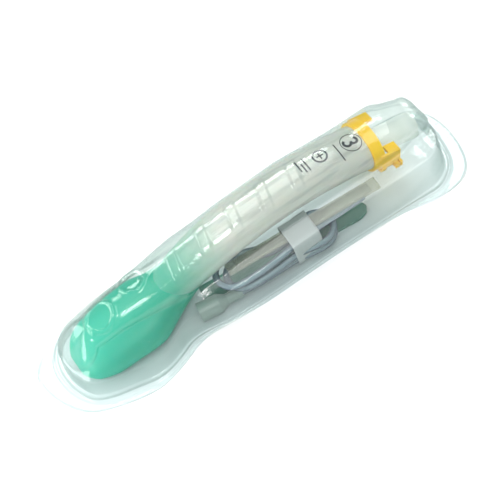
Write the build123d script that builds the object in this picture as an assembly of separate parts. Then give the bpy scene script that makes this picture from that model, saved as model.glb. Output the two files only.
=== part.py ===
from build123d import *
import os
from math import cos, pi, radians, sin, tan

# A sealed clear blister pack that holds a size 3 supraglottic airway with its suction
# tube, lubricant sachet and support strap. Millimetres, +Z up. The pack lies flat on its
# lid: +X runs along the airway to its connector, -Y is the side with the accessories.
# The origin is the middle of the pack's footprint, on the surface it lies on.

# ---- driving dimensions -------------------------------------------------------------
pack_length = 267.8          # over the flange, along X
half_length = pack_length / 2
pack_width = 73.6            # over the flange, along Y
ridge_height = 48.0          # highest point of the ridge over the lid's underside
film = 0.8                   # wall of the formed shell
flange_thickness = 0.8
lid_thickness = 0.3
lid_inset = 0.4              # the lid is cut a little smaller than the flange

ridge_y = 4.5                # middle plane of the airway and of the ridge over it

stem_half_width = 15.3
stem_half_height = 10.4
lumen_radius = 5.0
lumen_offset = -1.5          # lumen's middle from the middle plane
lumen_drop = 7.5             # the lumen opens into the bowl this far below the stem
lumen_reach = 14.0           # and this far past the stem's end
tube_radius = 2.0            # 12 FG suction tube
channel_room = 0.3           # round the suction tube in the gastric channel
channel_radius = tube_radius + channel_room
channel_offset = 9.5
channel_bore_length = 20.0   # straight stretch of the channel at the connector end
channel_step = 0.15          # the channel is this much narrower past that stretch
passage_overlap = 3.0

head_x = 0.6572 * half_length     # end face of the stem, where the connector sits
head_z = 24.2
head_tilt = 14.0             # degrees, the connector points slightly down

cone_radius = 7.6            # 15 mm male conical connector, at mid length
cone_length = 28.0
spigot_wall = 1.6
spigot_radius = lumen_radius + spigot_wall
spigot_length = 16.0
collar_step = 1.3
collar_radius = cone_radius + collar_step
collar_thickness = 2.4
collar_room = 0.2            # between the collar and the ring
bore_past_end = 20.0         # cutters run on this far past the face they open in

ring_width = 7.0
ring_wall = 1.7
ring_lip = 0.8
hook_root = 2.0              # how far the prong reaches back along the ring
hook_length = 10.0
hook_thickness = 1.5
hook_low = -3.0
hook_high = 4.5
hook_ledge = 5.5             # ledge that turns in from the hook's top
hook_ledge_length = 7.0

port_gap = 1.9               # sideways, from the cone's side to the port's axis
port_side = lumen_offset - cone_radius - port_gap
port_up = -7.8
port_lug_radius = 4.3
port_lug_thickness = 2.4
port_radius = 3.3
port_bore = 2.4
port_length = 8.0
port_floor = 1.2             # the port's bore stops this far above its lug
arm_length = 2.4             # arm that carries the cap's hinge, along the port
arm_set_back = 0.6
arm_half_height = 1.5
arm_past_hinge = 0.9
cap_radius = 3.7
cap_thickness = 1.5
cap_gap = 0.3
plug_radius = 1.7
plug_length = 2.0
cap_hinge_reach = 5.4        # hinge line to the port's axis

cuff_tip_x = -0.833 * half_length
cuff_half_width = 22.0
cuff_rim_z = 2.2
cuff_crown_z = 27.5
bowl_x = -0.568 * half_length
bowl_length = 44.0
bowl_half_width = 13.0
bowl_depth = 11.0
bowl_taper = 28.0            # degrees

hank_left = -23.0
hank_right = 50.0
hank_near = -22.2
hank_far = -5.0
hank_bottom = 3.2
hank_top = 17.6
hank_step_x = 4.0
hank_corner_share = 0.45     # corner radius, as a share of the width
tip_length = 19.0
tip_wall_end = 1.0
tip_round_share = 0.6
tip_bore_share = 0.5
tip_y = -16.0
tip_z = 14.0
funnel_mouth_radius = 5.6
funnel_mouth_length = 12.0
funnel_cone_length = 5.0
funnel_wall = 0.9
funnel_stem_radius = tube_radius + funnel_wall
funnel_stem_length = 9.0
funnel_length = funnel_mouth_length + funnel_cone_length + funnel_stem_length
funnel_x = -41.0             # middle of the funnel's mouth
funnel_y = -12.6
funnel_z = 6.3
funnel_turn = -10.0          # degrees from +X
deck_room = 0.2
hank_deck = funnel_z + funnel_stem_radius + deck_room     # the left loop lies over the stem
tail_bend_share = 0.45       # of the shorter straight run, taken up by the tail's bend

sachet_length = 95.0
sachet_width = 8.6
sachet_x = 31.0              # middle of the sachet
sachet_y = -12.9
sachet_turn = -5.0           # degrees from +X
sachet_thickness = 2.4
sachet_film = 0.3
sachet_end_seal = 5.0
sachet_side_seal = 1.2
sachet_corner = 1.5

band_width = 18.0
band_left = 19.0
band_paper = 0.3
band_slack = 0.35
band_corner = 1.2

strap_length = 104.0
strap_width = 12.0
strap_x = 18.0               # middle of the folded strap
strap_y = -7.5
strap_turn = -7.0            # degrees from +X
strap_stack = 1.9            # four layers of the folded strap
strap_end_share = 0.48       # end radius, as a share of the width
rest_gap = 0.3               # things that lie on each other, on different bodies
sachet_bottom = hank_top + rest_gap

# ---- the shell's cross-sections along X ---------------------------------------------
# x, near wall, far wall, wall height, half ridge, shoulder, spring line, crown: x is a
# share of half the pack's length, the crown is a share of ridge_height, and everything
# else is in millimetres.
SHELL_STATIONS = [
    (-0.881, -9.0, 19.0, 10.5, 5.0, 12.5, 13.0, 0.36),
    (-0.848, -15.5, 24.5, 12.5, 8.0, 17.0, 18.0, 0.49),
    (-0.747, -21.0, 29.0, 13.0, 11.0, 23.0, 24.5, 0.66),
    (-0.597, -26.3, 31.5, 13.5, 13.0, 26.5, 28.5, 0.77),
    (-0.463, -24.0, 30.5, 14.5, 14.0, 26.0, 28.0, 0.77),
    (-0.351, -20.3, 26.3, 17.0, 15.5, 25.0, 27.5, 0.79),
    (-0.187, -24.2, 23.2, 21.5, 17.2, 24.5, 28.5, 0.89),
    (0.0, -25.6, 22.8, 23.0, 17.6, 25.5, 30.2, 0.98),
    (0.284, -26.0, 22.8, 23.4, 17.6, 26.0, 30.6, 1.0),
    (0.478, -27.2, 22.9, 23.5, 17.8, 26.0, 28.6, 0.93),
    (0.597, -28.0, 24.0, 24.0, 18.9, 26.0, 27.0, 0.85),
    (0.747, -28.2, 24.0, 24.0, 18.9, 26.0, 26.6, 0.84),
    (0.784, -28.2, 20.0, 24.0, 14.5, 25.0, 25.6, 0.76),
    (0.844, -25.5, 18.6, 24.0, 13.5, 24.0, 24.6, 0.73),
    (0.911, -16.5, 15.5, 21.5, 11.0, 22.5, 23.0, 0.66),
]
wall_draft = 1.0
least_step = 1.0             # the shoulder lies at least this far under the spring line
near_step = 0.2
far_step = 0.3
shoulder_slip = 0.1          # keeps the shoulder's edge off the vertical

# Flange outline, by hand: (share of half the length, share of half the width).
FLANGE_OUTLINE = [
    (-1.0, 0.36), (-0.975, -0.13), (-0.905, -0.56), (-0.79, -0.79), (-0.61, -0.94),
    (-0.47, -0.83), (-0.345, -0.68), (-0.10, -0.755), (0.16, -0.775), (0.36, -0.79),
    (0.62, -0.86), (0.84, -1.0), (0.95, -0.80), (1.0, -0.16), (0.975, 0.42),
    (0.87, 0.71), (0.55, 0.76), (0.10, 0.75), (-0.28, 0.80), (-0.47, 0.94),
    (-0.66, 1.0), (-0.82, 0.92), (-0.94, 0.70),
]


def flange_face(inset=0.0):
    """The flange's plan outline as one smooth closed curve."""
    half_x = half_length - inset
    half_y = pack_width / 2 - inset
    points = [(half_x * a, half_y * b) for a, b in FLANGE_OUTLINE]
    with BuildSketch() as sketch:
        with BuildLine():
            Spline(*points, periodic=True)
        make_face()
    return sketch.sketch


def cross_plane(x, y, z):
    """A plane across X, whose own first axis is +Y and second is +Z."""
    return Plane(origin=(x, y, z), x_dir=(0, 1, 0), z_dir=(1, 0, 0))


def shell_section(station, wall, bottom):
    """One cross-section of the shell on a plane across X, drawn in by the wall."""
    x, near, far, wall_z, half, shoulder, spring, crown = station
    near = near + wall
    far = far - wall
    half = half - wall
    top = crown * ridge_height - wall
    shoulder = shoulder - wall
    spring = max(spring - wall / 2, top - half)
    wall_z = wall_z - wall
    near_ridge = max(ridge_y - half, near + wall_draft + near_step)
    far_ridge = min(ridge_y + half, far - far_step)
    shoulder = min(shoulder, spring - least_step)
    with BuildSketch(cross_plane(x, 0, 0)) as sketch:
        with BuildLine():
            left = Polyline(
                (near_ridge, spring),
                (near_ridge - shoulder_slip, shoulder),
                (near + wall_draft, wall_z),
                (near, bottom),
            )
            base = Line(left @ 1, (far, bottom))
            right = Polyline(
                base @ 1,
                (far - shoulder_slip, shoulder / 2),
                (far_ridge + shoulder_slip, shoulder),
                (far_ridge, spring),
            )
            ThreePointArc(right @ 1, (ridge_y, top), left @ 0)
        make_face()
    return sketch.sketch


def shell_block(wall, bottom):
    """The room inside the shell (wall = film) or its whole outside (wall = 0)."""
    stations = [[row[0] * half_length, *row[1:]] for row in SHELL_STATIONS]
    stations[0][0] += wall
    stations[-1][0] -= wall
    sections = [shell_section(row, wall, bottom) for row in stations]
    return loft(sections, ruled=True)


def blister_shell():
    flange = extrude(flange_face(), flange_thickness)
    flange = Pos(0, 0, lid_thickness) * flange
    outside = shell_block(0.0, lid_thickness)
    inside = shell_block(film, lid_thickness - 1.0)
    return flange + outside - inside


def backing_lid():
    return extrude(flange_face(lid_inset), lid_thickness)


# ---- the airway ---------------------------------------------------------------------
# Stem stations: x, z of the middle line, half width, half height.
STEM_STATIONS = [
    (-0.388 * half_length, 18.6, 12.0, 8.2),
    (-0.209 * half_length, 26.6, 14.4, 9.8),
    (0.0, 32.8, stem_half_width, stem_half_height),
    (0.224 * half_length, 34.2, stem_half_width, stem_half_height),
    (0.448 * half_length, 30.7, stem_half_width, stem_half_height),
    (head_x + 4.0, head_z - 1.0, stem_half_width, stem_half_height),
]

# The gastric channel in the cuff, from its tip: x, distance from the middle plane, z.
CUFF_CHANNEL = [
    (cuff_tip_x - 3.0, 0.0, 6.4),
    (-0.717 * half_length, 8.0, 7.6),
    (-0.538 * half_length, bowl_half_width + 3.5, 11.0),
    (-0.373 * half_length, 11.5, 16.0),
]


def oval(x, y, z, half_width, half_height):
    return cross_plane(x, y, z) * Ellipse(half_width, half_height)


def head_place(along, side=0.0, up=0.0):
    """A place in the head's own frame: along the connector's axis, to +Y, and up."""
    place = Plane(
        origin=(head_x, ridge_y, head_z),
        x_dir=(0, 1, 0),
        z_dir=(cos(radians(head_tilt)), 0, -sin(radians(head_tilt))),
    )
    # On this plane the first axis is +Y and the second is up, so z_dir runs along.
    return place.location * Pos(side, up, along)


def head_cylinder(radius, start, length, side=0.0, up=0.0):
    solid = Cylinder(radius, length, align=(Align.CENTER, Align.CENTER, Align.MIN))
    return head_place(start, side, up) * solid


def stem_solid():
    """The stem without its passages, cut square to the head's axis."""
    sections = [oval(x, ridge_y, z, a, b) for x, z, a, b in STEM_STATIONS]
    return loft(sections) - head_cylinder(3 * stem_half_width, 0.0, bore_past_end)


def passage(points, radius):
    """A round passage, lofted through points on its middle line."""
    return loft([cross_plane(x, y, z) * Circle(radius) for x, y, z in points])


def head_z_at(x):
    """Height of the head's axis above a place behind the stem's end."""
    return head_z + (head_x - x) * tan(radians(head_tilt))


def lumen():
    """The airway's passage, from the bowl to just inside the connector's socket."""
    side = ridge_y + lumen_offset
    first_x, first_z, a, b = STEM_STATIONS[0]
    end_x = head_x - spigot_length + passage_overlap
    points = [(first_x - lumen_reach, side, first_z - lumen_drop), (first_x, side, first_z)]
    points += [(x, side, z) for x, z, a, b in STEM_STATIONS[1:-1]]
    points.append((end_x, side, head_z_at(end_x)))
    return passage(points, lumen_radius)


def gastric_channel():
    """The gastric channel, from the cuff's tip to just inside its straight mouth."""
    side = ridge_y + channel_offset
    end_x = head_x - channel_bore_length + passage_overlap
    points = [(x, ridge_y + away, z) for x, away, z in CUFF_CHANNEL]
    points += [(x, side, z) for x, z, a, b in STEM_STATIONS[1:-1]]
    points.append((end_x, side, head_z_at(end_x)))
    return passage(points, channel_radius - channel_step)


def airway_stem():
    """The stem with its lumen, its gastric channel and the socket for the connector."""
    socket_cut = spigot_length + bore_past_end
    mouth_cut = channel_bore_length + bore_past_end
    socket = head_cylinder(spigot_radius, -spigot_length, socket_cut, lumen_offset)
    mouth = head_cylinder(channel_radius, -channel_bore_length, mouth_cut, channel_offset)
    stem = stem_solid() - socket - mouth
    return stem - lumen() - gastric_channel()


# Cuff stations: x as a share of half the pack's length, half width as a share of the
# widest, underside, crown as a share of the highest.
CUFF_STATIONS = [
    (-0.833, 0.40, cuff_rim_z + 0.6, 0.34),
    (-0.792, 0.70, cuff_rim_z, 0.50),
    (-0.702, 0.92, cuff_rim_z, 0.68),
    (-0.568, 1.0, cuff_rim_z, 0.82),
    (-0.433, 0.89, cuff_rim_z + 0.8, 0.92),
    (-0.336, 0.70, 7.4, 0.98),
    (-0.254, 0.62, 13.0, 1.07),
]


def cuff():
    """The soft cuff: a blunt shoe that is hollow underneath, round the stem's end."""
    sections = []
    for x_share, width, low, crown in CUFF_STATIONS:
        x = x_share * half_length
        high = crown * cuff_crown_z
        middle = (low + high) / 2
        sections.append(oval(x, ridge_y, middle, width * cuff_half_width, (high - low) / 2))
    bowl_floor = Plane.XY.offset(cuff_rim_z - 1.0)
    bowl = bowl_floor * Pos(bowl_x, ridge_y) * Ellipse(bowl_length / 2, bowl_half_width)
    bowl = extrude(bowl, bowl_depth, taper=bowl_taper)
    return loft(sections) - bowl - stem_solid() - lumen() - gastric_channel()


def connector():
    """The 15 mm male connector with its collar and the spigot inside the stem."""
    body = head_cylinder(cone_radius, 0.0, cone_length, lumen_offset)
    body += head_cylinder(collar_radius, 0.0, collar_thickness, lumen_offset)
    body += head_cylinder(spigot_radius, -spigot_length, spigot_length, lumen_offset)
    bore_start = -spigot_length - 1.0
    bore = head_cylinder(lumen_radius, bore_start, cone_length + 2 * bore_past_end, lumen_offset)
    channel_gap = head_cylinder(channel_radius + 0.4, -1.0, bore_past_end, channel_offset)
    return body - bore - channel_gap


def head_block(start, stop, side_low, side_high, up_low, up_high):
    block = Box(side_high - side_low, up_high - up_low, stop - start, align=(Align.MIN,) * 3)
    return head_place(start, side_low, up_low) * block


def hook(direction):
    """One strap hook: a prong off the ring's side, with a ledge that turns in."""
    outer = stem_half_width + ring_wall
    inner = outer - hook_thickness
    ledge = inner - hook_ledge
    low, high = sorted((direction * inner, direction * outer))
    prong = head_block(-hook_root, hook_length, low, high, hook_low, hook_high)
    low, high = sorted((direction * ledge, direction * inner))
    ledge_start = hook_length - hook_ledge_length
    top = hook_high - hook_thickness
    return prong + head_block(ledge_start, hook_length, low, high, top, hook_high)


def head_oval(half_width, half_height, start, length):
    """An oval block along the head's axis, on the middle plane."""
    oval_face = head_place(start) * Ellipse(half_width, half_height)
    return extrude(oval_face, length)


def connector_room():
    """The round room that the ring leaves for the connector's collar."""
    return head_cylinder(collar_radius + collar_room, -1.0, bore_past_end, lumen_offset)


def hook_ring():
    """The ring round the stem's end, with two strap hooks and the lug for the port."""
    back = ring_lip - ring_width
    ring = head_oval(stem_half_width + ring_wall, stem_half_height + ring_wall, back, ring_width)
    ring -= head_oval(stem_half_width - ring_lip, stem_half_height - ring_lip, back, ring_width)
    ring += head_cylinder(port_lug_radius, 0.0, port_lug_thickness, port_side, port_up)
    ring += hook(-1) + hook(1)
    return ring - stem_solid() - connector_room()


def oxygen_port():
    """The oxygen port: a short tube on the ring's lug, with an arm for the cap's hinge."""
    tube = head_cylinder(port_radius, port_lug_thickness, port_length, port_side, port_up)
    top = port_lug_thickness + port_length
    hinge_side = port_side - cap_hinge_reach
    arm_end = top - arm_set_back
    low, high = port_up - arm_half_height, port_up + arm_half_height
    arm = head_block(arm_end - arm_length, arm_end, hinge_side - arm_past_hinge, port_side, low, high)
    bore = head_cylinder(port_bore, port_lug_thickness + port_floor, port_length, port_side, port_up)
    return tube + arm - bore


def oxygen_port_cap():
    """The port's tethered cap: a plug, a round lid and a tab that ends in the hinge line."""
    seat = port_lug_thickness + port_length + cap_gap
    hinge_side = port_side - cap_hinge_reach
    lid = head_cylinder(cap_radius, seat, cap_thickness, port_side, port_up)
    plug_start = seat - cap_gap - plug_length
    plug = head_cylinder(plug_radius, plug_start, plug_length + cap_thickness, port_side, port_up)
    low, high = port_up - arm_half_height, port_up + arm_half_height
    tab = head_block(seat, seat + cap_thickness, hinge_side, port_side, low, high)
    knuckle = Rot(90, 0, 0) * Cylinder(cap_thickness / 2, 2 * arm_half_height)
    knuckle = head_place(seat + cap_thickness / 2, hinge_side, port_up) * knuckle
    return lid + plug + tab + knuckle


# ---- the suction set ----------------------------------------------------------------
def suction_hank():
    """The outer shape of the wound suction tube, with the left loop over the funnel."""
    length = hank_right - hank_left
    width = hank_far - hank_near
    middle_y = (hank_far + hank_near) / 2
    loops = Pos((hank_left + hank_right) / 2, middle_y, hank_deck)
    corner = width * hank_corner_share
    loops = loops * extrude(RectangleRounded(length, width, corner), hank_top - hank_deck)
    deck_length = hank_right - corner - hank_step_x
    lower = Box(deck_length, width, hank_deck - hank_bottom, align=(Align.MIN, Align.MIN, Align.MIN))
    return loops + Pos(hank_step_x, hank_near, hank_bottom) * lower


def funnel_place(along):
    return Pos(funnel_x, funnel_y, funnel_z) * Rot(0, 0, funnel_turn) * Rot(0, 90, 0) * Pos(0, 0, along)


def funnel_cone(radius, start, length, end_radius=None):
    if end_radius is None:
        solid = Cylinder(radius, length, align=(Align.CENTER, Align.CENTER, Align.MIN))
    else:
        solid = Cone(radius, end_radius, length, align=(Align.CENTER, Align.CENTER, Align.MIN))
    return funnel_place(start) * solid


def suction_funnel():
    """The funnel that takes the vacuum hose, hollow down to the suction tube."""
    cone_start = funnel_mouth_length
    stem_start = cone_start + funnel_cone_length
    outside = funnel_cone(funnel_mouth_radius, 0.0, cone_start)
    outside += funnel_cone(funnel_mouth_radius, cone_start, funnel_cone_length, funnel_stem_radius)
    outside += funnel_cone(funnel_stem_radius, stem_start, funnel_stem_length)
    inside = funnel_cone(funnel_mouth_radius - funnel_wall, -1.0, cone_start + 1.0)
    inside += funnel_cone(funnel_mouth_radius - funnel_wall, cone_start, funnel_cone_length,
                          funnel_stem_radius - funnel_wall)
    return outside - inside


def tail_points():
    """Route of the tube from the funnel's stem to the wound part."""
    turn = radians(funnel_turn)
    start_x = funnel_x + funnel_length * cos(turn)
    start_y = funnel_y + funnel_length * sin(turn)
    bend_x = start_x + 0.5 * (hank_step_x - start_x)
    bend_y = start_y + (bend_x - start_x) * tan(turn)
    return [
        (start_x, start_y, funnel_z),
        (bend_x, bend_y, funnel_z),
        (hank_step_x, bend_y, funnel_z),
    ]


def suction_tail():
    points = tail_points()
    run_1 = (Vector(points[1]) - Vector(points[0])).length
    run_2 = (Vector(points[2]) - Vector(points[1])).length
    turn = abs(funnel_turn)
    bend = tail_bend_share * min(run_1, run_2) / tan(radians(turn) / 2)
    print("suction tail bend radius", round(bend, 1), "mm for a tube of", 2 * tube_radius)
    with BuildLine() as route:
        FilletPolyline(*points, radius=bend)
    start = Plane(origin=points[0], z_dir=(cos(radians(funnel_turn)), sin(radians(funnel_turn)), 0))
    tube = sweep(start * Circle(tube_radius), path=route.wire())
    print("suction tail volume", round(tube.volume, 1), "section x length",
          round(pi * tube_radius ** 2 * route.wire().length, 1))
    return tube


def suction_tip():
    """The tube's free end, rounded over so that it can't scratch."""
    end = Cylinder(tube_radius, tip_length, align=(Align.CENTER, Align.CENTER, Align.MIN))
    end = fillet(end.edges().group_by(Axis.Z)[-1], tube_radius * tip_round_share)
    bore_radius = tube_radius * tip_bore_share
    bore = Cylinder(bore_radius, tip_length, align=(Align.CENTER, Align.CENTER, Align.MIN))
    tip = end - Pos(0, 0, tip_wall_end) * bore
    return Pos(hank_right, tip_y, tip_z) * Rot(0, 90, 0) * tip


def paper_band():
    """The paper sleeve that holds the wound tube and the sachet together."""
    gap = band_slack + band_paper
    low_y, high_y = hank_near - gap, hank_far + gap
    low_z, high_z = hank_bottom - gap, sachet_bottom + sachet_thickness + gap
    width, height = high_y - low_y, high_z - low_z
    middle = cross_plane(band_left, (low_y + high_y) / 2, (low_z + high_z) / 2)
    outside = RectangleRounded(width, height, band_corner)
    inside = RectangleRounded(width - 2 * band_paper, height - 2 * band_paper,
                              band_corner - band_paper)
    return extrude(middle * (outside - inside), band_width)


# ---- sachet and strap ---------------------------------------------------------------
def sachet_block(inset):
    """The sachet's outside, or the room in it when it is drawn in by the film."""
    length = sachet_length - (2 * sachet_end_seal if inset else 0.0)
    width = sachet_width - (2 * sachet_side_seal if inset else 0.0)
    height = sachet_thickness - 2 * inset
    middle = Pos(sachet_x, sachet_y, sachet_bottom + sachet_thickness / 2)
    middle = middle * Rot(0, 0, sachet_turn)
    block = Box(length, width, height)
    return middle * fillet(block.edges().filter_by(Axis.Z), sachet_corner)


def lubricant_sachet():
    return sachet_block(0.0) - sachet_block(sachet_film)


def lubricant_gel():
    return sachet_block(sachet_film)


def support_strap():
    """The folded strap as one flat stack with round ends."""
    plan = RectangleRounded(strap_length, strap_width, strap_width * strap_end_share)
    place = Pos(strap_x, strap_y, lid_thickness) * Rot(0, 0, strap_turn)
    return place * extrude(plan, strap_stack)


NODES = {
    "backing_lid": backing_lid,
    "blister_shell": blister_shell,
    "airway_stem": airway_stem,
    "airway_cuff": cuff,
    "connector": connector,
    "hook_ring": hook_ring,
    "oxygen_port": oxygen_port,
    "oxygen_port_cap": oxygen_port_cap,
    "suction_hank": suction_hank,
    "suction_tail": suction_tail,
    "suction_funnel": suction_funnel,
    "suction_tip": suction_tip,
    "paper_band": paper_band,
    "lubricant_sachet": lubricant_sachet,
    "lubricant_gel": lubricant_gel,
    "support_strap": support_strap,
}

os.makedirs("parts", exist_ok=True)
for name, make in NODES.items():
    solid = make()
    export_step(solid, "parts/" + name + ".step")
    box = solid.bounding_box()
    print(name, round(solid.volume, 1), [round(v, 2) for v in (*box.min, *box.max)])
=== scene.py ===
from math import cos, hypot, pi, radians, sin, sqrt

import bmesh
import bpy
from mathutils import Matrix, Vector
from mathutils.bvhtree import BVHTree


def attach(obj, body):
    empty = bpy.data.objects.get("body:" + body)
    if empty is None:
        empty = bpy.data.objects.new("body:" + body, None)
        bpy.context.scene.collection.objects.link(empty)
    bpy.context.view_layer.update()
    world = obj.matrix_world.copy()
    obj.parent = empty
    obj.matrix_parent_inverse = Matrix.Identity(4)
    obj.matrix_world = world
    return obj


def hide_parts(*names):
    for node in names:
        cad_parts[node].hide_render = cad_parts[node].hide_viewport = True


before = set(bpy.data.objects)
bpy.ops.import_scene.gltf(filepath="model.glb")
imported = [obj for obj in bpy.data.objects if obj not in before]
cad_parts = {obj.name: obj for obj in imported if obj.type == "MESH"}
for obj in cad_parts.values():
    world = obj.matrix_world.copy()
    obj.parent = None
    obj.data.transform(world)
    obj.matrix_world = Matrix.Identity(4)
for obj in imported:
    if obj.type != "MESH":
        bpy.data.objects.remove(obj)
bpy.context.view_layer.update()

# ---- The camera -----------------------------------------------------------------------
# A long lens looks down on the pack from its accessory side, turned so that the airway
# rises to the right.
MM = 0.001
azimuth, elevation, roll = radians(-12.5), radians(55.0), radians(24.3)
distance = 0.95
frame_width = 0.2762
sensor_width = 36.0
toward = Vector((
    sin(azimuth) * cos(elevation), -cos(azimuth) * cos(elevation), sin(elevation)))
level = Vector((cos(azimuth), sin(azimuth), 0.0))
upright = toward.cross(level)
right = cos(roll) * level - sin(roll) * upright
up = sin(roll) * level + cos(roll) * upright
aim = Vector((-0.003, -0.003, 0.0)) + up * 0.0099

lens = bpy.data.cameras.new("camera")
lens.lens = sensor_width * distance / frame_width
lens.sensor_width = sensor_width
lens.clip_start = 0.01
camera = bpy.data.objects.new("camera", lens)
turn = Matrix((right, up, toward)).transposed().to_4x4()
camera.matrix_world = Matrix.Translation(aim + toward * distance) @ turn
bpy.context.scene.collection.objects.link(camera)
bpy.context.scene.camera = camera
bpy.context.scene.view_settings.view_transform = "Standard"
bpy.context.scene.cycles.transparent_max_bounces = 32


# ---- The studio -----------------------------------------------------------------------
# A plain white floor, a pale room and four soft boxes: a long one behind the ridge, one at
# the cuff's end, a weak one in front and a broad one overhead.
#
# A noise texture with no coordinate linked follows the box of the piece it is on, so its
# scale counts features along that box and is not a size in millimetres.
def srgb(code):
    """An sRGB hex code as a linear colour with alpha 1."""
    parts = [int(code[i:i + 2], 16) / 255 for i in (1, 3, 5)]
    linear = [v / 12.92 if v <= 0.04045 else ((v + 0.055) / 1.055) ** 2.4 for v in parts]
    return (*linear, 1.0)


def add(tree, kind, links=(), values=(), **settings):
    """Adds a node. Settings are its properties or its inputs by name, values are more inputs
    as {socket: value}, and links are (input, node, output)."""
    node = tree.nodes.new(kind)
    for name, value in settings.items():
        if hasattr(node, name):
            setattr(node, name, value)
        else:
            node.inputs[name.replace("_", " ")].default_value = value
    for socket, value in dict(values).items():
        node.inputs[socket].default_value = value
    for socket, source, output in links:
        tree.links.new(source.outputs[output], node.inputs[socket])
    return node


def new_material(name):
    """An empty node material and its tree."""
    material = bpy.data.materials.new(name)
    material.use_nodes = True
    material.node_tree.nodes.clear()
    return material, material.node_tree


def backdrop_paper():
    """Matt white paper sweep."""
    material, tree = new_material("backdrop_paper")
    fibre = add(tree, "ShaderNodeTexNoise", Scale=900.0, Detail=3.0)
    tone = add(tree, "ShaderNodeMix", [(0, fibre, 0)],
               {6: srgb("#FBFBFB"), 7: srgb("#FFFFFF")}, data_type="RGBA")
    face = add(tree, "ShaderNodeBsdfPrincipled", [("Base Color", tone, 2)], Roughness=0.9)
    add(tree, "ShaderNodeOutputMaterial", [("Surface", face, 0)])
    return material


def mesh_object(name, vertices, faces, smooth=True):
    """A new mesh object from points in millimetres."""
    mesh = bpy.data.meshes.new(name)
    mesh.from_pydata([Vector(v) * MM for v in vertices], [], faces)
    mesh.validate()
    for polygon in mesh.polygons:
        polygon.use_smooth = smooth
    made = bpy.data.objects.new(name, mesh)
    bpy.context.scene.collection.objects.link(made)
    return made


floor_half, floor_z = 1500, -0.05
floor_corners = [(x * floor_half, y * floor_half, floor_z)
                 for x, y in ((-1, -1), (1, -1), (1, 1), (-1, 1))]
floor = mesh_object("floor", floor_corners, [(0, 1, 2, 3)])
floor.data.materials.append(backdrop_paper())

world = bpy.data.worlds.new("pale_room")
world.use_nodes = True
world.node_tree.nodes.clear()
sky = add(world.node_tree, "ShaderNodeTexCoord")
height = add(world.node_tree, "ShaderNodeSeparateXYZ", [(0, sky, 0)])
wall_tone = add(world.node_tree, "ShaderNodeMix", [(0, height, 2)],
                {6: srgb("#CDD4D7"), 7: srgb("#F2F5F6")}, data_type="RGBA")
room = add(world.node_tree, "ShaderNodeBackground", [("Color", wall_tone, 2)], Strength=0.85)
add(world.node_tree, "ShaderNodeOutputWorld", [("Surface", room, 0)])
bpy.context.scene.world = world


def soft_box(name, place, size, watts, target=(0.0, 0.0, 0.0)):
    """A rectangular area lamp that faces its target. Place and size are in metres."""
    lamp = bpy.data.lights.new(name, "AREA")
    lamp.shape = "RECTANGLE"
    lamp.size, lamp.size_y = size
    lamp.energy = watts
    made = bpy.data.objects.new(name, lamp)
    made.location = place
    look = Vector(target) - Vector(place)
    made.rotation_euler = look.to_track_quat("-Z", "Y").to_euler()
    bpy.context.scene.collection.objects.link(made)


soft_box("back_box", (0.13, 0.62, 0.90), (1.0, 0.16), 4.5)
soft_box("cuff_end_box", (-0.92, 0.30, 0.37), (1.40, 0.42), 10.0)
soft_box("front_window", (-0.10, -0.52, 1.00), (0.30, 0.22), 2.2)
soft_box("ceiling", (0.4, -0.1, 1.6), (1.0, 1.0), 6.0)


# ---- The suction tube -----------------------------------------------------------------
# Soft blue-grey vinyl tube, 4 mm across, extruded. It leaves the funnel, is wound about two
# and a half turns along the pack, and is welded to its straight tip. A paper band ties it.
TUBE = 4.0


def bend(middle, radius, first, last, low, high, steps=8):
    """Points round one end of the winding, from one angle in degrees to another."""
    points = []
    for i in range(steps):
        share = i / (steps - 1)
        angle = radians(first + share * (last - first))
        x = middle[0] + radius * cos(angle)
        y = middle[1] + radius * sin(angle)
        points.append((x, y, low + share * (high - low)))
    return points


tube_route = [(-15.4, -17.1, 6.3), (-9.0, -18.2, 6.3), (0.0, -19.2, 6.3), (10.0, -19.6, 6.3),
              (20.0, -19.9, 6.2), (29.0, -22.2, 5.9)]
tube_route += bend((37.0, -12.9), 10.3, -90, 90, 5.7, 5.7)
tube_route += [(29.0, -4.2, 5.8), (20.0, -7.6, 6.2), (10.0, -7.4, 7.0), (1.0, -3.4, 8.4)]
tube_route += bend((-8.0, -10.4), 10.8, 90, 270, 10.0, 11.5)
tube_route += [(3.0, -21.8, 11.3), (12.0, -21.2, 10.9), (21.0, -20.2, 10.5), (29.0, -22.0, 10.1)]
tube_route += bend((37.5, -12.7), 10.4, -90, 90, 9.9, 9.9)
tube_route += [(29.0, -4.2, 10.2), (20.0, -7.6, 10.8), (10.0, -6.6, 12.2), (0.0, -2.6, 13.8)]
tube_route += bend((-13.0, -8.6), 10.6, 90, 270, 15.2, 15.6)
tube_route += [(-3.0, -19.6, 15.4), (6.0, -19.4, 15.3), (16.0, -18.2, 15.2), (26.0, -16.9, 15.0),
               (36.0, -16.2, 14.6), (44.0, -16.0, 14.2), (50.0, -16.0, 14.0)]


def nurbs_line(name, points, radius):
    """One open NURBS spline on given control points, with a round bevel. A curve's
    box is padded by its points' radius, so they carry the tube's radius and the bevel is 1."""
    curve = bpy.data.curves.new(name, "CURVE")
    curve.dimensions = "3D"
    spline = curve.splines.new("NURBS")
    spline.points.add(len(points) - 1)
    for point, place in zip(spline.points, points):
        point.co = (*(Vector(place) * MM), 1.0)
        point.radius = radius * MM
    spline.order_u = 3
    spline.use_endpoint_u = True
    spline.resolution_u = 6
    curve.bevel_depth = 1.0
    curve.bevel_resolution = 6
    curve.use_fill_caps = True
    made = bpy.data.objects.new(name, curve)
    bpy.context.scene.collection.objects.link(made)
    return made


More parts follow.
